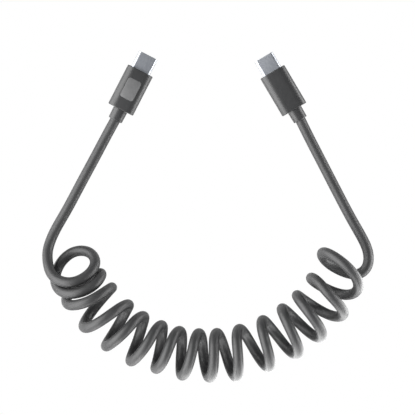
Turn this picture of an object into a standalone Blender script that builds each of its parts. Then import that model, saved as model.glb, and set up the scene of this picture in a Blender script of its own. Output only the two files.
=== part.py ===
"""A coiled USB-C charging cable, both plugs and the cord lying flat on a level floor.

Metres, +Z up. The floor is Z = 0 and the origin lies midway between the two plugs.
The plugs point away from the coil, towards +Y. Run it with
blender --background --python part.py, or from Blender's text editor.
"""

import math

import bpy
from mathutils import Vector

MM = 0.001

# Plug: a drawn steel shell with a round-ended section, 8.25 mm by 2.40 mm over the outside
SHELL_WIDTH = 8.25 * MM
SHELL_THICKNESS = 2.40 * MM
SHELL_WALL = 0.30 * MM
SHELL_SHOWN = 6.95 * MM
SHELL_SEAT = 3.00 * MM

# Contact housing: black moulding in the shell, with the slot that takes the socket's tongue
HOUSING_RECESS = 0.40 * MM
SLOT_WIDTH = 6.75 * MM
SLOT_HEIGHT = 0.95 * MM
SLOT_DEPTH = 5.60 * MM
SLOT_CORNER = 0.10 * MM

# Grip: hard cover over the plug's inner parts
GRIP_WIDTH = 11.10 * MM
GRIP_THICKNESS = 5.80 * MM
GRIP_LENGTH = 17.55 * MM
GRIP_CORNER = 2.70 * MM
GRIP_EDGE = 0.35 * MM

# Blank raised pad on the left grip's upper face
PAD_WIDTH = 5.70 * MM
PAD_LENGTH = 8.50 * MM
PAD_CORNER = 1.20 * MM
PAD_MIDDLE = -8.50 * MM
PAD_RISE = 0.15 * MM

# Strain relief: soft collar with a narrower root that sits inside the grip
RELIEF_WIDTH = 6.05 * MM
RELIEF_THICKNESS = 5.00 * MM
RELIEF_LENGTH = 4.70 * MM
RELIEF_TAPER = 0.20 * MM
RELIEF_CORNER = 2.30 * MM
RELIEF_EDGE = 0.25 * MM
ROOT_STEP = 0.70 * MM
ROOT_LENGTH = 3.00 * MM

# Clearance between pieces that fit into one another, and between faces that meet
FIT = 0.05 * MM
MEET = 0.30 * MM

# Cord: round jacket, and the outer diameter of the coil that it is wound into
CORD_DIAMETER = 4.20 * MM
COIL_DIAMETER = 22.00 * MM
FLOOR_GAP = 0.05 * MM
CORD_POINT_SPACING = 2 * CORD_DIAMETER
COIL_POINT_SPACING = 9.00 * MM
CORD_BEVEL_STEPS = 3
COIL_BEVEL_STEPS = 6

# Each plug: middle of the grip's front face on the floor plan, and its turn from +Y in degrees
PLUGS = {
    "left": ((-26.8 * MM, 6.55 * MM), -27.2),
    "right": ((25.95 * MM, 6.05 * MM), 30.5),
}
PLUG_AXIS_HEIGHT = GRIP_THICKNESS / 2

# Heights of the cord's middle line: lying on the floor, and where it climbs to the coil
CORD_LOW = CORD_DIAMETER / 2 + FLOOR_GAP
COIL_AXIS_HEIGHT = COIL_DIAMETER / 2 + FLOOR_GAP

# Floor plan of each lead after its strain relief, with the height of each point
LEFT_LEAD = (
    (-40.4 * MM, -19.5 * MM, 2.4 * MM),
    (-44.6 * MM, -27.4 * MM, CORD_LOW),
    (-50.8 * MM, -38.9 * MM, CORD_LOW),
    (-57.1 * MM, -50.6 * MM, 3.2 * MM),
    (-62.4 * MM, -61.1 * MM, 6.2 * MM),
    (-63.6 * MM, -66.0 * MM, 8.5 * MM),
)
RIGHT_LEAD = (
    (40.2 * MM, -19.2 * MM, 2.4 * MM),
    (45.7 * MM, -29.9 * MM, CORD_LOW),
    (53.9 * MM, -45.8 * MM, CORD_LOW),
    (62.2 * MM, -61.3 * MM, CORD_LOW),
    (64.0 * MM, -67.7 * MM, 3.2 * MM),
)

# Where each lead meets the coil's end face: distance outwards from the coil's middle, and height
COIL_ENTRIES = {
    "left": (6.4 * MM, 10.2 * MM),
    "right": (6.2 * MM, 5.6 * MM),
}

# Floor plan of the coil's middle line, from the left lead to the right lead
COIL_LINE = (
    (-54.4 * MM, -70.2 * MM),
    (-52.1 * MM, -76.0 * MM),
    (-48.2 * MM, -82.2 * MM),
    (-42.0 * MM, -90.1 * MM),
    (-34.3 * MM, -96.9 * MM),
    (-26.1 * MM, -101.8 * MM),
    (-17.5 * MM, -105.1 * MM),
    (-8.5 * MM, -106.9 * MM),
    (0.6 * MM, -107.3 * MM),
    (10.1 * MM, -106.4 * MM),
    (20.7 * MM, -103.5 * MM),
    (30.8 * MM, -98.9 * MM),
    (39.0 * MM, -93.0 * MM),
    (46.2 * MM, -86.0 * MM),
    (51.6 * MM, -77.3 * MM),
    (53.5 * MM, -73.4 * MM),
)


def clear_scene():
    """Remove every object that the scene holds."""
    for item in list(bpy.data.objects):
        bpy.data.objects.remove(item, do_unlink=True)


def finish(name, color, roughness, metallic):
    """A Principled material of one colour."""
    material = bpy.data.materials.new(name)
    material.use_nodes = True
    shader = material.node_tree.nodes["Principled BSDF"]
    shader.inputs["Base Color"].default_value = (*color, 1)
    shader.inputs["Roughness"].default_value = roughness
    shader.inputs["Metallic"].default_value = metallic
    return material


def outline(width, height, corner, steps=6):
    """Points around a rounded rectangle in the XZ plane, anticlockwise seen from -Y."""
    points = []
    quarter = math.pi / 2
    for index, (side_x, side_z) in enumerate(((1, 1), (-1, 1), (-1, -1), (1, -1))):
        centre_x = side_x * (width / 2 - corner)
        centre_z = side_z * (height / 2 - corner)
        for step in range(steps + 1):
            angle = quarter * (index + step / steps)
            points.append((centre_x + corner * math.cos(angle), centre_z + corner * math.sin(angle)))
    return points


def loft(name, rings, material, parent):
    """One closed mesh through rings, each (y, width, height, corner), capped at both ends."""
    vertices = []
    for y, width, height, corner in rings:
        vertices += [(x, y, z) for x, z in outline(width, height, corner)]
    count = len(vertices) // len(rings)
    faces = [tuple(range(count))]
    for ring in range(len(rings) - 1):
        here = ring * count
        above = here + count
        for i in range(count):
            j = (i + 1) % count
            faces.append((here + j, here + i, above + i, above + j))
    faces.append(tuple(reversed(range(len(vertices) - count, len(vertices)))))
    mesh = bpy.data.meshes.new(name)
    mesh.from_pydata(vertices, [], faces)
    mesh.materials.append(material)
    mesh.shade_smooth()
    mesh.set_sharp_from_angle(angle=math.radians(35))
    item = bpy.data.objects.new(name, mesh)
    item.parent = parent
    bpy.context.collection.objects.link(item)
    return item


def rounded_end(y, inward, width, height, corner, edge, steps=3):
    """Rings that round an end over at its rim, from the end face to the full section."""
    rings = []
    for step in range(steps + 1):
        angle = math.pi / 2 * step / steps
        inset = edge * (1 - math.sin(angle))
        along = inward * edge * (1 - math.cos(angle))
        rings.append((y + along, width - 2 * inset, height - 2 * inset, corner - inset))
    return rings


def round_ended(y, width, height):
    """A ring whose two short sides are half circles, less a hair so that no edge is lost."""
    return (y, width, height, 0.49 * height)


def plug_shell(side, material, parent):
    """Steel tube, open at both ends, seated in the front of the grip."""
    bore_width = SHELL_WIDTH - 2 * SHELL_WALL
    bore_height = SHELL_THICKNESS - 2 * SHELL_WALL
    rings = (
        round_ended(SHELL_SHOWN, bore_width, bore_height),
        round_ended(-SHELL_SEAT, bore_width, bore_height),
        round_ended(-SHELL_SEAT, SHELL_WIDTH, SHELL_THICKNESS),
        round_ended(SHELL_SHOWN, SHELL_WIDTH, SHELL_THICKNESS),
    )
    item = loft(f"plug_shell_{side}", rings, material, parent)
    join_ends(item, len(outline(1, 1, 0.1)))
    return item


def join_ends(item, count):
    """Turn a capped loft into a ring-shaped solid: its two caps give way to one annular face."""
    mesh = item.data
    total = len(mesh.vertices)
    vertices = [tuple(vertex.co) for vertex in mesh.vertices]
    faces = [tuple(polygon.vertices) for polygon in mesh.polygons if len(polygon.vertices) == 4]
    last = total - count
    for i in range(count):
        j = (i + 1) % count
        faces.append((last + j, last + i, i, j))
    material = mesh.materials[0]
    mesh.clear_geometry()
    mesh.from_pydata(vertices, [], faces)
    mesh.materials.append(material)
    mesh.shade_smooth()
    mesh.set_sharp_from_angle(angle=math.radians(35))


def contact_housing(side, material, parent):
    """Moulding that fills the shell behind the tongue's slot."""
    width = SHELL_WIDTH - 2 * SHELL_WALL - 2 * FIT
    height = SHELL_THICKNESS - 2 * SHELL_WALL - 2 * FIT
    front = SHELL_SHOWN - HOUSING_RECESS
    rings = (
        round_ended(-SHELL_SEAT, width, height),
        round_ended(front, width, height),
        (front, SLOT_WIDTH, SLOT_HEIGHT, SLOT_CORNER),
        (front - SLOT_DEPTH, SLOT_WIDTH, SLOT_HEIGHT, SLOT_CORNER),
    )
    return loft(f"contact_housing_{side}", rings, material, parent)


def raised_pad(grip):
    """Join the blank pad to the grip's upper face."""
    top = GRIP_THICKNESS / 2 + PAD_RISE
    ring = [(x, PAD_MIDDLE + y) for x, y in outline(PAD_WIDTH, PAD_LENGTH, PAD_CORNER)]
    count = len(ring)
    vertices = [(x, y, GRIP_THICKNESS / 4) for x, y in ring] + [(x, y, top) for x, y in ring]
    faces = [tuple(reversed(range(count))), tuple(range(count, 2 * count))]
    for i in range(count):
        j = (i + 1) % count
        faces.append((i, j, count + j, count + i))
    mesh = bpy.data.meshes.new("pad_block")
    mesh.from_pydata(vertices, [], faces)
    block = bpy.data.objects.new("pad_block", mesh)
    block.parent = grip.parent
    block.hide_render = True
    block.display_type = "WIRE"
    bpy.context.collection.objects.link(block)
    union = grip.modifiers.new("raised pad", "BOOLEAN")
    union.operation = "UNION"
    union.object = block


def grip_cover(side, material, parent):
    """Cover with a socket for the shell in front and one for the strain relief behind."""
    socket_width = SHELL_WIDTH + 2 * FIT
    socket_height = SHELL_THICKNESS + 2 * FIT
    root_width = RELIEF_WIDTH - 2 * ROOT_STEP + 2 * FIT
    root_height = RELIEF_THICKNESS - 2 * ROOT_STEP + 2 * FIT
    root_corner = RELIEF_CORNER - ROOT_STEP + FIT
    shape = (GRIP_WIDTH, GRIP_THICKNESS, GRIP_CORNER, GRIP_EDGE)
    rings = [
        (-GRIP_LENGTH + ROOT_LENGTH + FIT, root_width, root_height, root_corner),
        (-GRIP_LENGTH, root_width, root_height, root_corner),
    ]
    rings += rounded_end(-GRIP_LENGTH, 1, *shape)
    rings += reversed(rounded_end(0, -1, *shape))
    rings += [
        round_ended(0, socket_width, socket_height),
        round_ended(-SHELL_SEAT - FIT, socket_width, socket_height),
    ]
    return loft(f"grip_{side}", rings, material, parent)


def strain_relief(side, material, parent):
    """Collar that tapers towards the cord, with its root inside the grip."""
    start = -GRIP_LENGTH - FIT
    end = start - RELIEF_LENGTH
    tapered = (RELIEF_WIDTH - RELIEF_TAPER, RELIEF_THICKNESS - RELIEF_TAPER, RELIEF_CORNER - RELIEF_TAPER / 2)
    root = (RELIEF_WIDTH - 2 * ROOT_STEP, RELIEF_THICKNESS - 2 * ROOT_STEP, RELIEF_CORNER - ROOT_STEP)
    rings = rounded_end(end, 1, *tapered, RELIEF_EDGE)
    rings += [
        (start, RELIEF_WIDTH, RELIEF_THICKNESS, RELIEF_CORNER),
        (start, *root),
        (-GRIP_LENGTH + ROOT_LENGTH, *root),
    ]
    return loft(f"strain_relief_{side}", rings, material, parent)


def smooth_line(route, spacing):
    """Points at an even spacing along a smooth curve through every point of a route."""
    points = [Vector(point) for point in route]
    points.insert(0, 2 * points[0] - points[1])
    points.append(2 * points[-1] - points[-2])
    fine = []
    for before, start, end, after in zip(points, points[1:], points[2:], points[3:]):
        for step in range(24):
            t = step / 24
            fine.append(
                start
                + t * (end - before) / 2
                + t**2 * (2 * before - 5 * start + 4 * end - after) / 2
                + t**3 * (3 * start - before - 3 * end + after) / 2
            )
    fine.append(points[-2])
    lengths = [0.0]
    for start, end in zip(fine, fine[1:]):
        lengths.append(lengths[-1] + (end - start).length)
    count = max(2, round(lengths[-1] / spacing))
    even = []
    place = 0
    for number in range(count + 1):
        wanted = lengths[-1] * number / count
        while place < len(fine) - 2 and lengths[place + 1] < wanted:
            place += 1
        share = (wanted - lengths[place]) / (lengths[place + 1] - lengths[place])
        even.append(fine[place].lerp(fine[place + 1], share))
    return even


def tube(name, points, diameter, bevel_steps, material):
    """A solid round bar along the points, as a curve with filled caps."""
    curve = bpy.data.curves.new(name, "CURVE")
    curve.dimensions = "3D"
    curve.twist_mode = "Z_UP"
    curve.bevel_depth = diameter / 2
    curve.bevel_resolution = bevel_steps
    curve.use_fill_caps = True
    spline = curve.splines.new("POLY")
    spline.points.add(len(points) - 1)
    for target, point in zip(spline.points, points):
        target.co = (*point, 1)
    spline.use_smooth = True
    curve.materials.append(material)
    item = bpy.data.objects.new(name, curve)
    bpy.context.collection.objects.link(item)
    return item


def build_plug(side, materials):
    """One plug on its own empty, whose origin is the middle of the grip's front face."""
    (x, y), degrees = PLUGS[side]
    holder = bpy.data.objects.new(f"plug_{side}", None)
    holder.location = (x, y, PLUG_AXIS_HEIGHT)
    holder.rotation_euler = (0, 0, math.radians(degrees))
    bpy.context.collection.objects.link(holder)
    plug_shell(side, materials["steel"], holder)
    contact_housing(side, materials["housing"], holder)
    grip = grip_cover(side, materials["cover"], holder)
    if side == "left":
        raised_pad(grip)
    strain_relief(side, materials["collar"], holder)


def build_lead(side, route, coil_end, coil_next, material):
    """The stretch of cord from a strain relief to the coil, square to both faces that it meets."""
    (x, y), degrees = PLUGS[side]
    forward = Vector((-math.sin(math.radians(degrees)), math.cos(math.radians(degrees)), 0))
    front = Vector((x, y, PLUG_AXIS_HEIGHT))
    start = front - (GRIP_LENGTH + FIT + RELIEF_LENGTH + MEET) * forward
    settled = start - CORD_DIAMETER / 2 * forward

    offset, height = COIL_ENTRIES[side]
    outward = (coil_end - coil_next).normalized()
    sideways = outward.cross(Vector((0, 0, 1)))
    if sideways.x * x < 0:
        sideways.negate()
    entry = coil_end + offset * sideways + MEET * outward
    entry.z = height
    approach = entry + CORD_DIAMETER * outward

    points = [start, *smooth_line([settled, *route, approach], CORD_POINT_SPACING), entry]
    tube(f"lead_{side}", points, CORD_DIAMETER, CORD_BEVEL_STEPS, material)


def coil_points():
    """The coil's middle line, one outer radius above the floor."""
    route = [(x, y, COIL_AXIS_HEIGHT) for x, y in COIL_LINE]
    return smooth_line(route, COIL_POINT_SPACING)


def build():
    clear_scene()
    materials = {
        "steel": finish("brushed steel", (0.55, 0.56, 0.60), 0.32, 1.0),
        "housing": finish("black housing", (0.02, 0.02, 0.02), 0.45, 0.0),
        "cover": finish("grey grip", (0.075, 0.075, 0.078), 0.5, 0.0),
        "collar": finish("grey collar", (0.075, 0.075, 0.078), 0.55, 0.0),
        "jacket": finish("grey jacket", (0.07, 0.07, 0.073), 0.5, 0.0),
    }
    for side in PLUGS:
        build_plug(side, materials)
    middle = coil_points()
    build_lead("left", LEFT_LEAD, middle[0], middle[1], materials["jacket"])
    build_lead("right", RIGHT_LEAD, middle[-1], middle[-2], materials["jacket"])
    tube("coil", middle, COIL_DIAMETER, COIL_BEVEL_STEPS, materials["jacket"])


build()
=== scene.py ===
"""A coiled USB-C charging cable in dark grey rubber, lying flat with both plugs pointing the same way.

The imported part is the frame: metres, +Z up, floor at Z = 0, origin midway between the two plugs.
"""

import math

import bpy
import numpy as np
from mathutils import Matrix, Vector


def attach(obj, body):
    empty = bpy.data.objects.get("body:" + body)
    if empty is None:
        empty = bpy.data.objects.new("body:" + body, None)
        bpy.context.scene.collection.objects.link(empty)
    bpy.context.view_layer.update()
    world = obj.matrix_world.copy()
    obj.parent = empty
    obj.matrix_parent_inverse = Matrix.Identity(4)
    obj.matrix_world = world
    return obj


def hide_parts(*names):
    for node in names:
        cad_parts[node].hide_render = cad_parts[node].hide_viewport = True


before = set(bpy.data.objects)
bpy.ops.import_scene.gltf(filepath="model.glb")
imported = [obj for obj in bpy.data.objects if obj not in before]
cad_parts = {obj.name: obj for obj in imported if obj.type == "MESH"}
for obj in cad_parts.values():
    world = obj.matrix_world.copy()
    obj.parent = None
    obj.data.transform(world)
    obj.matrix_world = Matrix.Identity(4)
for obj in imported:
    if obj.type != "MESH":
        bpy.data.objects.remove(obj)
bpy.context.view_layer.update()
MM = 0.001


# Contact housings. Each plug starts as a black glass-filled nylon moulding with a slot for the socket's
# tongue. Its mouth is chamfered to guide the tongue in.
PLUGS = {
    "left": ((-26.8 * MM, 6.55 * MM), -27.2),
    "right": ((25.95 * MM, 6.05 * MM), 30.5),
}
PLUG_AXIS_HEIGHT = 2.9 * MM
SHELL_WIDTH, SHELL_THICKNESS, SHELL_WALL = 8.25, 2.40, 0.30
SHELL_SHOWN, SHELL_SEAT = 6.95, 3.0
HOUSING_FRONT = SHELL_SHOWN - 0.4
HOUSING_PLAY = 0.1
FACE_CHAMFER = 0.08
SLOT_WIDTH, SLOT_HEIGHT, SLOT_DEPTH, SLOT_CORNER = 6.75, 0.95, 5.6, 0.1
MOUTH_WIDTH, MOUTH_HEIGHT, MOUTH_DEPTH, MOUTH_CORNER = SLOT_WIDTH + 0.24, SLOT_HEIGHT + 0.28, 0.3, 0.2
# Share of a grooved side, from its middle, that the groove's lips take up
GROOVE_SHARE = 0.35


def section(width, height, across, upright, steps=10, groove=None):
    """Points of a rounded rectangle with elliptical corners, and a groove of this depth in each side."""
    points = []
    for index, (side_x, side_z) in enumerate(((1, 1), (-1, 1), (-1, -1), (1, -1))):
        for step in range(steps + 1):
            angle = math.pi / 2 * (index + step / steps)
            points.append((
                side_x * (width / 2 - across) + across * math.cos(angle),
                side_z * (height / 2 - upright) + upright * math.sin(angle),
            ))
        if groove is not None and index in (1, 3):
            outward = index - 2
            lip = GROOVE_SHARE * (height / 2 - upright) * outward
            points += [
                (outward * width / 2, -lip),
                (outward * (width / 2 - groove), 0),
                (outward * width / 2, lip),
            ]
    return points


def loft(rings, closed=False):
    """Vertices in metres and faces of a skin through rings, each (y, section points) in millimetres."""
    count = len(rings[0][1])
    vertices = [(x * MM, y * MM, z * MM) for y, points in rings for x, z in points]
    faces = []
    if not closed:
        faces.append(tuple(range(count)))
        faces.append(tuple(reversed(range(len(vertices) - count, len(vertices)))))
    for ring in range(len(rings) if closed else len(rings) - 1):
        here, above = ring * count, (ring + 1) % len(rings) * count
        for i in range(count):
            j = (i + 1) % count
            faces.append((here + j, here + i, above + i, above + j))
    return vertices, faces


def new_piece(name, skin, material, sharp=32):
    """A smooth-shaded mesh object with one material."""
    vertices, faces = skin
    mesh = bpy.data.meshes.new(name)
    mesh.from_pydata([tuple(vertex) for vertex in vertices], [], faces)
    mesh.materials.append(material)
    mesh.shade_smooth()
    mesh.set_sharp_from_angle(angle=math.radians(sharp))
    item = bpy.data.objects.new(name, mesh)
    bpy.context.collection.objects.link(item)
    return item


def seat(item, side, slot, *nodes):
    """Move a piece made in the plug's own frame to its plug, where it stands for the named nodes."""
    (x, y), degrees = PLUGS[side]
    item.location = (x, y, PLUG_AXIS_HEIGHT)
    item.rotation_euler = (0, 0, math.radians(degrees))
    bpy.context.view_layer.update()
    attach(item, "root")
    if nodes:
        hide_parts(*nodes)


def surface(
    name, tones, roughness, metallic=0.0, patches=300.0, grain=4000.0, depth=0.01, stretch=(1, 1, 1)
):
    """A Principled surface that drifts between two tones and two roughnesses, with a fine grain as its bump.

    Patches and grain are how many a metre holds, and depth is the grain's height in millimetres.
    """
    material = bpy.data.materials.new(name)
    material.use_nodes = True
    nodes, links = material.node_tree.nodes, material.node_tree.links
    shader = nodes["Principled BSDF"]
    shader.inputs["Metallic"].default_value = metallic
    where = nodes.new("ShaderNodeTexCoord")
    scaled = nodes.new("ShaderNodeMapping")
    scaled.inputs["Scale"].default_value = stretch
    links.new(where.outputs["Object"], scaled.inputs["Vector"])

    drift = nodes.new("ShaderNodeTexNoise")
    drift.inputs["Scale"].default_value = patches
    drift.inputs["Detail"].default_value = 3.0
    links.new(scaled.outputs["Vector"], drift.inputs["Vector"])
    fine = nodes.new("ShaderNodeTexNoise")
    fine.inputs["Scale"].default_value = grain
    fine.inputs["Detail"].default_value = 2.0
    links.new(scaled.outputs["Vector"], fine.inputs["Vector"])

    tone = nodes.new("ShaderNodeValToRGB")
    for stop, colour, position in zip(tone.color_ramp.elements, tones, (0.35, 0.65)):
        stop.color = (*colour, 1)
        stop.position = position
    links.new(drift.outputs["Fac"], tone.inputs["Fac"])
    links.new(tone.outputs["Color"], shader.inputs["Base Color"])

    gloss = nodes.new("ShaderNodeMapRange")
    gloss.inputs["From Min"].default_value = 0.3
    gloss.inputs["From Max"].default_value = 0.7
    gloss.inputs["To Min"].default_value = roughness[0]
    gloss.inputs["To Max"].default_value = roughness[1]
    links.new(fine.outputs["Fac"], gloss.inputs["Value"])
    links.new(gloss.outputs["Result"], shader.inputs["Roughness"])

    relief = nodes.new("ShaderNodeBump")
    relief.inputs["Distance"].default_value = depth * MM
    links.new(fine.outputs["Fac"], relief.inputs["Height"])
    links.new(relief.outputs["Normal"], shader.inputs["Normal"])
    return material


def housing_skin():
    """The moulding from its seat in the grip to its face, then down into the slot."""
    width = SHELL_WIDTH - 2 * SHELL_WALL - HOUSING_PLAY
    height = SHELL_THICKNESS - 2 * SHELL_WALL - HOUSING_PLAY
    full = section(width, height, height / 2, height / 2)
    face_end = height / 2 - FACE_CHAMFER
    face = section(width - 2 * FACE_CHAMFER, height - 2 * FACE_CHAMFER, face_end, face_end)
    mouth = section(MOUTH_WIDTH, MOUTH_HEIGHT, MOUTH_CORNER, MOUTH_CORNER)
    slot = section(SLOT_WIDTH, SLOT_HEIGHT, SLOT_CORNER, SLOT_CORNER)
    return loft([
        (-SHELL_SEAT, full),
        (HOUSING_FRONT - FACE_CHAMFER, full),
        (HOUSING_FRONT, face),
        (HOUSING_FRONT, mouth),
        (HOUSING_FRONT - MOUTH_DEPTH, slot),
        (HOUSING_FRONT - SLOT_DEPTH, slot),
    ])


nylon = surface(
    "black nylon", ((0.012, 0.012, 0.013), (0.02, 0.02, 0.021)), (0.4, 0.5),
    patches=900, depth=0.006,
)
for side in PLUGS:
    housing = new_piece(f"housing_{side}", housing_skin(), nylon)
    seat(housing, side, "housing_plastic", f"contact_housing_{side}")


# Contacts. Two rows of twelve sprung strips, stamped in copper alloy, gold-plated and pressed into the
# housing. They run back from the slot's mouth along its roof and floor.
CONTACTS_IN_ROW = 12
CONTACT_PITCH, CONTACT_WIDTH = 0.5, 0.24
CONTACT_SUNK, CONTACT_CROWN, CROWN_EDGE = 0.05, 0.03, 0.38
# Distance behind the housing's face, then how far the strip stands out of the slot's wall
CONTACT_PROFILE = ((0.55, 0.0), (0.8, 0.08), (1.2, 0.2), (1.5, 0.24), (1.9, 0.2), (3.2, 0.08), (5.4, 0.02))


def contacts_skin():
    """All the strips of one plug, each a bowed ribbon that starts in the slot's wall."""
    vertices, faces = [], []
    for wall in (1, -1):
        for number in range(CONTACTS_IN_ROW):
            middle = (number - (CONTACTS_IN_ROW - 1) / 2) * CONTACT_PITCH
            start = len(vertices)
            for back, out in CONTACT_PROFILE:
                y = (HOUSING_FRONT - back) * MM
                crown = -out - CONTACT_CROWN
                corners = (
                    (-0.5, CONTACT_SUNK), (-0.5, -out), (-CROWN_EDGE, crown),
                    (CROWN_EDGE, crown), (0.5, -out), (0.5, CONTACT_SUNK),
                )
                for x, z in corners:
                    height = wall * (SLOT_HEIGHT / 2 + z)
                    vertices.append(((middle + x * CONTACT_WIDTH) * MM, y, height * MM))
            count = len(corners)
            for ring in range(len(CONTACT_PROFILE) - 1):
                here = start + ring * count
                above = here + count
                for i in range(count):
                    j = (i + 1) % count
                    face = (here + i, here + j, above + j, above + i)
                    faces.append(face if wall > 0 else face[::-1])
    return vertices, faces


gold = surface(
    "gold plating", ((0.78, 0.55, 0.22), (0.85, 0.62, 0.28)), (0.2, 0.32),
    metallic=1.0, patches=2500, depth=0.002,
)
for side in PLUGS:
    contacts = new_piece(f"contacts_{side}", contacts_skin(), gold)
    seat(contacts, side, "housing_plastic")


# Plug shells. Deep-drawn stainless steel tubes with a satin finish and rolled rims. Each is pushed over
# its housing and moulded into the front of the grip.
RIM, RIM_STEPS = 0.13, 4
# Share of the shell's thickness that the round of each side takes, just short of a half circle
SHELL_ROUND = 0.49


def shell_section(inset):
    """The shell's round-ended outline, this far inside its outer surface."""
    height = SHELL_THICKNESS - 2 * inset
    return section(SHELL_WIDTH - 2 * inset, height, SHELL_ROUND * height, SHELL_ROUND * height, steps=16)


def shell_skin():
    """Bore, outside and rounded rim of the tube."""
    rings = []
    for step in range(RIM_STEPS + 1):
        angle = math.pi / 2 * step / RIM_STEPS
        bore = shell_section(SHELL_WALL - RIM + RIM * math.sin(angle))
        rings.append((SHELL_SHOWN - RIM * (1 - math.cos(angle)), bore))
    rings.append((-SHELL_SEAT, shell_section(SHELL_WALL)))
    rings.append((-SHELL_SEAT, shell_section(0)))
    for step in range(RIM_STEPS + 1):
        angle = math.pi / 2 * (1 - step / RIM_STEPS)
        outside = shell_section(RIM - RIM * math.sin(angle))
        rings.append((SHELL_SHOWN - RIM * (1 - math.cos(angle)), outside))
    return loft(rings, closed=True)


steel = surface(
    "satin steel", ((0.35, 0.364, 0.395), (0.41, 0.424, 0.451)), (0.36, 0.44),
    metallic=1.0, patches=1400, grain=6000, depth=0.001, stretch=(1, 0.35, 1),
)
for side in PLUGS:
    shell = new_piece(f"shell_{side}", shell_skin(), steel)
    seat(shell, side, "shell_steel", f"plug_shell_{side}")


# Grips. Hard covers moulded in dark grey plastic over the plug's circuit board, with a faint parting
# line down each side where the two halves of the mould met.
GRIP_WIDTH, GRIP_THICKNESS, GRIP_LENGTH = 11.1, 5.8, 17.55
GRIP_ACROSS, GRIP_UPRIGHT = 3.4, 2.6
GRIP_EDGE, EDGE_STEPS = 0.35, 5
PARTING_LINE = 0.06
SOCKET_PLAY, SOCKET_BEYOND_SHELL = 0.1, 0.05
# Width, thickness and corners of the hole that holds the collar's root, and how deep it goes
ROOT_HOLE = (4.75, 3.7, 1.65, 1.65)
ROOT_HOLE_DEPTH = 3.05


def eased_end(y, inward, width, height, across, upright, edge, groove=None):
    """Rings that round an end over, from its face to the full section."""
    rings = []
    for step in range(EDGE_STEPS + 1):
        angle = math.pi / 2 * step / EDGE_STEPS
        inset = edge * (1 - math.sin(angle))
        points = section(
            width - 2 * inset, height - 2 * inset, across - inset, upright - inset, groove=groove
        )
        rings.append((y + inward * edge * (1 - math.cos(angle)), points))
    return rings


def grip_skin():
    """The cover with the shell's socket in front and the collar's behind."""
    shape = (GRIP_WIDTH, GRIP_THICKNESS, GRIP_ACROSS, GRIP_UPRIGHT, GRIP_EDGE)
    socket_height = SHELL_THICKNESS + SOCKET_PLAY
    socket_end = SHELL_ROUND * socket_height
    socket = section(SHELL_WIDTH + SOCKET_PLAY, socket_height, socket_end, socket_end, groove=0)
    root = section(*ROOT_HOLE, groove=0)
    rings = [(-GRIP_LENGTH + ROOT_HOLE_DEPTH, root), (-GRIP_LENGTH, root)]
    rings += eased_end(-GRIP_LENGTH, 1, *shape, PARTING_LINE)
    rings += reversed(eased_end(0, -1, *shape, PARTING_LINE))
    rings += [(0, socket), (-SHELL_SEAT - SOCKET_BEYOND_SHELL, socket)]
    return loft(rings)


cover = surface(
    "grey grip plastic", ((0.018, 0.018, 0.0185), (0.021, 0.021, 0.0215)), (0.34, 0.42),
    patches=500, grain=5000, depth=0.0004,
)
for side in PLUGS:
    grip = new_piece(f"grip_cover_{side}", grip_skin(), cover)
    seat(grip, side, "grip_plastic", f"grip_{side}")


# Pad. The left grip alone has a low raised pad on its upper face, moulded with it and left matt. Its face
# is bare.
PAD_WIDTH, PAD_LENGTH, PAD_CORNER = 5.7, 8.5, 1.0
PAD_MIDDLE, PAD_RISE = -8.5, 0.15
# How far inside the pad's outline, and above its face, each ring of its rolled edge lies
PAD_EDGE = ((0.0, -0.4), (0.0, -0.09), (0.03, -0.03), (0.09, 0.0))


def pad_skin():
    """A low rounded rectangle with a rolled edge, from just inside the grip to its top."""
    top = GRIP_THICKNESS / 2 + PAD_RISE
    outlines = []
    for inset, above in PAD_EDGE:
        corner = PAD_CORNER - inset
        outlines.append((top + above, section(PAD_WIDTH - 2 * inset, PAD_LENGTH - 2 * inset, corner, corner)))
    count = len(outlines[0][1])
    vertices = [(x * MM, (PAD_MIDDLE + y) * MM, z * MM) for z, points in outlines for x, y in points]
    faces = [tuple(range(len(vertices) - count, len(vertices)))]
    for ring in range(len(outlines) - 1):
        for i in range(count):
            j = (i + 1) % count
            faces.append((ring * count + i, ring * count + j, (ring + 1) * count + j, (ring + 1) * count + i))
    return vertices, faces


matt = surface(
    "matt pad", ((0.082, 0.082, 0.083), (0.092, 0.092, 0.093)), (0.5, 0.6),
    patches=700, grain=5000, depth=0.001,
)
pad = new_piece("grip_pad_left", pad_skin(), matt)
seat(pad, "left", "grip_plastic")


# Strain relief collars. Soft rubber sleeves moulded on the cord behind each grip. A narrower root locks
# each one inside its grip, and the cord comes out through a tight hole.
COLLAR_WIDTH, COLLAR_THICKNESS, COLLAR_LENGTH = 6.05, 5.0, 4.7
COLLAR_ACROSS, COLLAR_UPRIGHT = 2.8, 2.4
COLLAR_TAPER, COLLAR_EDGE = 0.2, 0.3
COLLAR_GAP = 0.05
CORD_HOLE, CORD_HOLE_DEPTH = 4.32, 0.4
COLLAR_ROOT = (4.65, 3.6, 1.6, 1.6)
COLLAR_ROOT_LENGTH = 3.0


def collar_skin():
    """The sleeve from the hole around the cord to the root inside the grip."""
    start = -GRIP_LENGTH - COLLAR_GAP
    end = start - COLLAR_LENGTH
    hole = section(CORD_HOLE, CORD_HOLE, CORD_HOLE / 2, CORD_HOLE / 2)
    root = section(*COLLAR_ROOT)
    rings = [(end + CORD_HOLE_DEPTH, hole), (end, hole)]
    rings += eased_end(
        end, 1, COLLAR_WIDTH - COLLAR_TAPER, COLLAR_THICKNESS - COLLAR_TAPER,
        COLLAR_ACROSS - COLLAR_TAPER / 2, COLLAR_UPRIGHT - COLLAR_TAPER / 2, COLLAR_EDGE,
    )
    rings += [
        (start, section(COLLAR_WIDTH, COLLAR_THICKNESS, COLLAR_ACROSS, COLLAR_UPRIGHT)),
        (start, root),
        (-GRIP_LENGTH + COLLAR_ROOT_LENGTH, root),
    ]
    return loft(rings)


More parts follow.
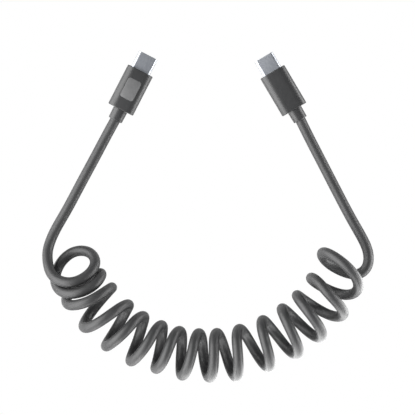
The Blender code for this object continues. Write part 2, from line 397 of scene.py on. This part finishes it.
sleeve = surface(
    "grey collar rubber", ((0.019, 0.019, 0.0195), (0.022, 0.022, 0.0225)), (0.34, 0.42),
    patches=500, grain=4200, depth=0.0006,
)
for side in PLUGS:
    collar = new_piece(f"collar_{side}", collar_skin(), sleeve)
    seat(collar, side, "relief_rubber", f"strain_relief_{side}")


# Cord. One round lead, about a metre of it, jacketed in matt dark grey rubber. Its middle was wound on
# a rod and heat-set into a spring of fourteen turns. The spring lies in a U, each turn resting on the floor.
CORD_DIAMETER = 4.2 * MM
# The middle lines of the leads in millimetres. The right one begins on the way down from the last turn
LEFT_LEAD = (
    (-36.5, -12.4, 2.9), (-40.4, -19.5, 2.4), (-44.6, -27.4, 2.12), (-50.8, -38.9, 2.12),
    (-57.1, -50.6, 2.15), (-60.8, -57.1, 2.2), (-62.8, -61.5, 2.8), (-63.9, -65.5, 4.4),
)
RIGHT_LEAD = (
    (46.2, -66.3, 11.7), (47.4, -69.6, 4.4), (52.3, -73.0, 2.12), (56.0, -74.5, 2.12),
    (60.4, -74.9, 2.12), (63.3, -72.9, 2.12), (64.4, -66.9, 2.12), (62.3, -61.1, 2.12),
    (58.6, -54.5, 2.12), (53.9, -45.8, 2.12), (45.7, -29.9, 2.12), (40.2, -19.2, 2.4),
    (36.8, -12.3, 2.9),
)
# The middle line of the coil in millimetres, eight points to a turn
COIL_POINTS = (
    (-63.9, -69.7, 7.4), (-61.2, -76.1, 12.7), (-54.7, -78.2, 15.8), (-47.8, -75.2, 14.8),
    (-44.9, -70.2, 10.5), (-47.8, -66.1, 5.3), (-53.9, -66.3, 2.3), (-59.2, -71.2, 3.2),
    (-60.8, -77.8, 7.7), (-57.9, -82.0, 13.2), (-51.9, -82.4, 17.0), (-45.5, -79.4, 16.3),
    (-42.5, -75.4, 11.4), (-43.7, -74.7, 5.6), (-49.4, -77.1, 2.2), (-54.9, -81.6, 3.9),
    (-56.3, -86.0, 9.8), (-53.5, -87.3, 16.4), (-47.5, -85.7, 19.7), (-41.5, -82.3, 17.5),
    (-38.3, -80.3, 11.1), (-39.4, -81.6, 4.8), (-43.6, -86.4, 2.1), (-48.0, -92.3, 4.8),
    (-49.4, -95.9, 11.4), (-46.5, -95.8, 18.1), (-40.6, -92.3, 20.8), (-34.8, -88.3, 18.0),
    (-31.6, -87.1, 11.4), (-32.5, -89.6, 4.8), (-35.7, -95.4, 2.1), (-39.2, -101.1, 4.8),
    (-40.5, -103.7, 11.3), (-37.9, -102.2, 17.7), (-33.0, -97.9, 20.2), (-28.4, -93.1, 17.5),
    (-25.5, -91.8, 11.1), (-25.8, -94.6, 4.8), (-27.7, -100.8, 2.1), (-30.0, -106.9, 4.7),
    (-30.6, -109.7, 11.0), (-28.1, -107.9, 17.1), (-24.1, -102.8, 19.6), (-20.7, -97.3, 17.0),
    (-18.3, -95.4, 10.8), (-18.0, -98.0, 4.7), (-18.9, -104.2, 2.1), (-20.2, -110.2, 4.6),
    (-20.6, -112.7, 10.7), (-18.5, -110.9, 16.7), (-15.9, -105.5, 19.2), (-13.4, -99.8, 16.7),
    (-11.1, -97.7, 10.6), (-10.2, -100.5, 4.6), (-10.5, -106.7, 2.1), (-10.7, -112.9, 4.6),
    (-10.1, -115.4, 10.5), (-8.3, -113.0, 16.4), (-6.4, -107.0, 18.8), (-4.9, -100.9, 16.2),
    (-3.4, -98.6, 10.3), (-2.2, -101.2, 4.5), (-1.6, -107.4, 2.1), (-0.5, -113.6, 4.5),
    (0.8, -116.2, 10.3), (2.1, -113.6, 16.2), (2.6, -107.4, 18.7), (2.7, -101.1, 16.4),
    (3.7, -98.5, 10.6), (5.4, -100.9, 4.6), (7.5, -107.2, 2.1), (9.6, -113.5, 4.7),
    (11.5, -115.9, 10.7), (12.3, -112.9, 16.8), (12.1, -106.4, 19.3), (11.7, -99.9, 16.7),
    (12.7, -96.9, 10.6), (15.0, -98.9, 4.6), (18.4, -104.6, 2.1), (22.0, -110.2, 4.6),
    (24.5, -112.1, 10.6), (24.9, -109.2, 16.7), (23.4, -102.9, 19.3), (21.8, -96.6, 16.8),
    (22.0, -93.4, 10.8), (24.3, -95.2, 4.7), (28.5, -100.4, 2.1), (32.8, -105.5, 4.7),
    (35.9, -106.9, 11.0), (36.0, -103.7, 17.2), (33.4, -97.6, 19.8), (30.6, -91.6, 17.2),
    (29.8, -88.7, 11.0), (32.1, -90.2, 4.7), (36.9, -94.8, 2.1), (42.0, -99.2, 4.7),
    (45.3, -100.0, 11.1), (45.1, -96.9, 17.4), (41.4, -91.3, 20.2), (37.3, -86.0, 17.7),
    (35.8, -83.4, 11.3), (38.1, -84.9, 4.8), (43.6, -88.6, 2.1), (49.9, -91.6, 4.8),
    (54.0, -91.3, 11.3), (53.2, -88.1, 17.7), (48.6, -82.9, 20.2), (44.0, -77.9, 17.4),
    (41.5, -76.4, 11.0), (43.1, -78.2, 4.7), (48.5, -81.3, 2.1), (55.1, -83.2, 4.7),
    (59.5, -81.7, 10.8), (59.8, -77.4, 17.0), (55.9, -72.1, 19.5),
)
LINE_STEPS = 8000
FLOOR_PLAY = 0.01 * MM
RING_SPACING = 0.7 * MM
RING_SIDES = 32


def spline(knots, values, places):
    """A natural cubic spline through the values at the knots, read at the places."""
    knots, values = np.array(knots, float), np.array(values, float)
    gaps = np.diff(knots)
    slopes = np.diff(values, axis=0) / gaps[:, None]
    count = len(knots)
    system = np.eye(count)
    right = np.zeros_like(values)
    for i in range(1, count - 1):
        system[i, i - 1] = gaps[i - 1]
        system[i, i] = 2 * (gaps[i - 1] + gaps[i])
        system[i, i + 1] = gaps[i]
        right[i] = 6 * (slopes[i] - slopes[i - 1])
    curl = np.linalg.solve(system, right)
    at = np.clip(np.searchsorted(knots, places, side="right") - 1, 0, count - 2)
    gap = gaps[at][:, None]
    before = (places - knots[at])[:, None]
    after = gap - before
    return (
        (curl[at] * after**3 + curl[at + 1] * before**3) / (6 * gap)
        + (values[at] / gap - curl[at] * gap / 6) * after
        + (values[at + 1] / gap - curl[at + 1] * gap / 6) * before
    )


def cord_line():
    """The whole middle line from collar to collar, in metres at an even spacing."""
    route = np.vstack([LEFT_LEAD, COIL_POINTS, RIGHT_LEAD]) * MM
    along = np.concatenate([[0], np.cumsum(np.linalg.norm(np.diff(route, axis=0), axis=1))])
    fine = spline(along, route, np.linspace(0, along[-1], LINE_STEPS))
    length = np.concatenate([[0], np.cumsum(np.linalg.norm(np.diff(fine, axis=0), axis=1))])
    even = np.linspace(0, length[-1], round(length[-1] / RING_SPACING))
    line = np.column_stack([np.interp(even, length, fine[:, axis]) for axis in range(3)])
    line[:, 2] = np.maximum(line[:, 2], CORD_DIAMETER / 2 + FLOOR_PLAY)
    return line


def round_tube(line, radius, sides):
    """Vertices and faces of a round tube whose rings are carried along the line without twisting."""
    ahead = np.gradient(line, axis=0)
    ahead /= np.linalg.norm(ahead, axis=1)[:, None]
    across = np.cross(ahead[0], (0, 0, 1))
    across /= np.linalg.norm(across)
    angles = np.linspace(0, 2 * np.pi, sides, endpoint=False)
    rings = []
    for centre, forward in zip(line, ahead):
        across = across - across.dot(forward) * forward
        across /= np.linalg.norm(across)
        up = np.cross(across, forward)
        rings.append(centre + radius * (np.outer(np.cos(angles), across) + np.outer(np.sin(angles), up)))
    faces = [tuple(reversed(range(sides)))]
    for ring in range(len(line) - 1):
        for i in range(sides):
            j = (i + 1) % sides
            faces.append((ring * sides + i, ring * sides + j, (ring + 1) * sides + j, (ring + 1) * sides + i))
    last = (len(line) - 1) * sides
    faces.append(tuple(range(last, last + sides)))
    return np.vstack(rings), faces


jacket = surface(
    "jacket rubber", ((0.019, 0.019, 0.0195), (0.024, 0.024, 0.0245)), (0.46, 0.54),
    patches=160, grain=3600, depth=0.0008,
)
line = cord_line()
cord = new_piece("cord_jacket", round_tube(line, CORD_DIAMETER / 2, RING_SIDES), jacket)
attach(cord, "root")
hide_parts("lead_left", "coil", "lead_right")


# Floor. A plain sheet of glossy white acrylic on which the cable lies. The camera sees it as pure white,
# and the cable gets the light that a real sheet throws back.
FLOOR_REACH = 6
floor_corners = [(x * FLOOR_REACH, y * FLOOR_REACH, 0) for x, y in ((-1, -1), (1, -1), (1, 1), (-1, 1))]
floor_mesh = bpy.data.meshes.new("floor")
floor_mesh.from_pydata(floor_corners, [], [(0, 1, 2, 3)])
floor = bpy.data.objects.new("floor", floor_mesh)
bpy.context.collection.objects.link(floor)
acrylic = bpy.data.materials.new("white sweep")
acrylic.use_nodes = True
nodes, links = acrylic.node_tree.nodes, acrylic.node_tree.links
sheet = nodes["Principled BSDF"]
sheet.inputs["Base Color"].default_value = (0.7, 0.7, 0.7, 1)
sheet.inputs["Roughness"].default_value = 0.15
seen = nodes.new("ShaderNodeEmission")
seen.inputs["Color"].default_value = (1, 1, 1, 1)
ray = nodes.new("ShaderNodeLightPath")
blend = nodes.new("ShaderNodeMixShader")
links.new(ray.outputs["Is Camera Ray"], blend.inputs["Fac"])
links.new(sheet.outputs["BSDF"], blend.inputs[1])
links.new(seen.outputs["Emission"], blend.inputs[2])
links.new(blend.outputs["Shader"], nodes["Material Output"].inputs["Surface"])
floor_mesh.materials.append(acrylic)


# Light. Soft panels stand low around the cable: a tall one at the left, lower ones at the right and in
# front, and none beyond the plugs. A small cool one hangs overhead, and three lie on the floor outside the
# coil, where they lift its outer bends towards white.
VIEW_CENTRE = Vector((0.02 * MM, -48.28 * MM, 8 * MM))
PANEL_DISTANCE = 1.6
COOL_WHITE = (0.92, 0.96, 1.0)


def lamp(name, place, facing, size, radiance, colour=(1, 1, 1)):
    """A soft rectangular panel of this width and height in metres, turned towards the facing direction."""
    data = bpy.data.lights.new(name, "AREA")
    data.shape = "RECTANGLE"
    data.size, data.size_y = size
    data.energy = 4 * radiance * size[0] * size[1]
    data.color = colour
    item = bpy.data.objects.new(name, data)
    item.location = place
    item.rotation_euler = (-facing).to_track_quat("Z", "Y").to_euler()
    item.visible_camera = False
    bpy.context.collection.objects.link(item)
    return item


def panel(name, azimuth, elevation, size, radiance, colour=(1, 1, 1)):
    """A panel that stands off from the cable, in a direction given in degrees, and faces it."""
    turn, tip = math.radians(azimuth), math.radians(elevation)
    outward = Vector((math.cos(tip) * math.cos(turn), math.cos(tip) * math.sin(turn), math.sin(tip)))
    lamp(name, VIEW_CENTRE + PANEL_DISTANCE * outward, -outward, size, radiance, colour)


panel("left panel", 184, 32, (3.4, 2.0), 4.9)
panel("right panel", 355, 12, (3.2, 0.68), 6.8)
panel("front panel", 270, 12, (1.4, 0.68), 5.5)
panel("overhead panel", 90, 88, (0.5, 0.5), 0.4, colour=COOL_WHITE)
# Place, turn in degrees, width and depth, and radiance of each panel that lies on the floor, facing up
FLOOR_PANELS = (
    ((0.0377, -0.1338, 0.0005), 24, (0.094, 0.045), 4.4),
    ((0.0850, -0.0830, 0.0005), 75, (0.045, 0.025), 9.0),
    ((-0.0150, -0.1480, 0.0005), 5, (0.060, 0.030), 5.0),
)
for place, turn, size, radiance in FLOOR_PANELS:
    low = lamp("floor panel", place, Vector((0, 0, 1)), size, radiance)
    low.rotation_euler = (math.pi, 0, math.radians(turn))
world = bpy.data.worlds.new("studio")
bpy.context.scene.world = world
world.use_nodes = True
sky, sky_links = world.node_tree.nodes, world.node_tree.links
glow = sky["Background"]
glow.inputs["Color"].default_value = (*COOL_WHITE, 1)
glow.inputs["Strength"].default_value = 0.17
white = sky.new("ShaderNodeBackground")
white.inputs["Color"].default_value = (1, 1, 1, 1)
sky_ray = sky.new("ShaderNodeLightPath")
sky_blend = sky.new("ShaderNodeMixShader")
sky_links.new(sky_ray.outputs["Is Camera Ray"], sky_blend.inputs["Fac"])
sky_links.new(glow.outputs["Background"], sky_blend.inputs[1])
sky_links.new(white.outputs["Background"], sky_blend.inputs[2])
sky_links.new(sky_blend.outputs["Shader"], sky["World Output"].inputs["Surface"])
bpy.context.scene.view_settings.view_transform = "Standard"


# Camera. Straight above the cable through a very long lens, 0.40 mm to each pixel of the picture.
PICTURE_WIDTH = 415 * 0.40 * MM
camera = bpy.data.cameras.new("camera")
camera.sensor_width = 36
camera.lens = 900
camera.clip_end = 20
viewer = bpy.data.objects.new("camera", camera)
viewer.location = VIEW_CENTRE + Vector((0, 0, PICTURE_WIDTH * camera.lens / camera.sensor_width))
bpy.context.collection.objects.link(viewer)
bpy.context.scene.camera = viewer
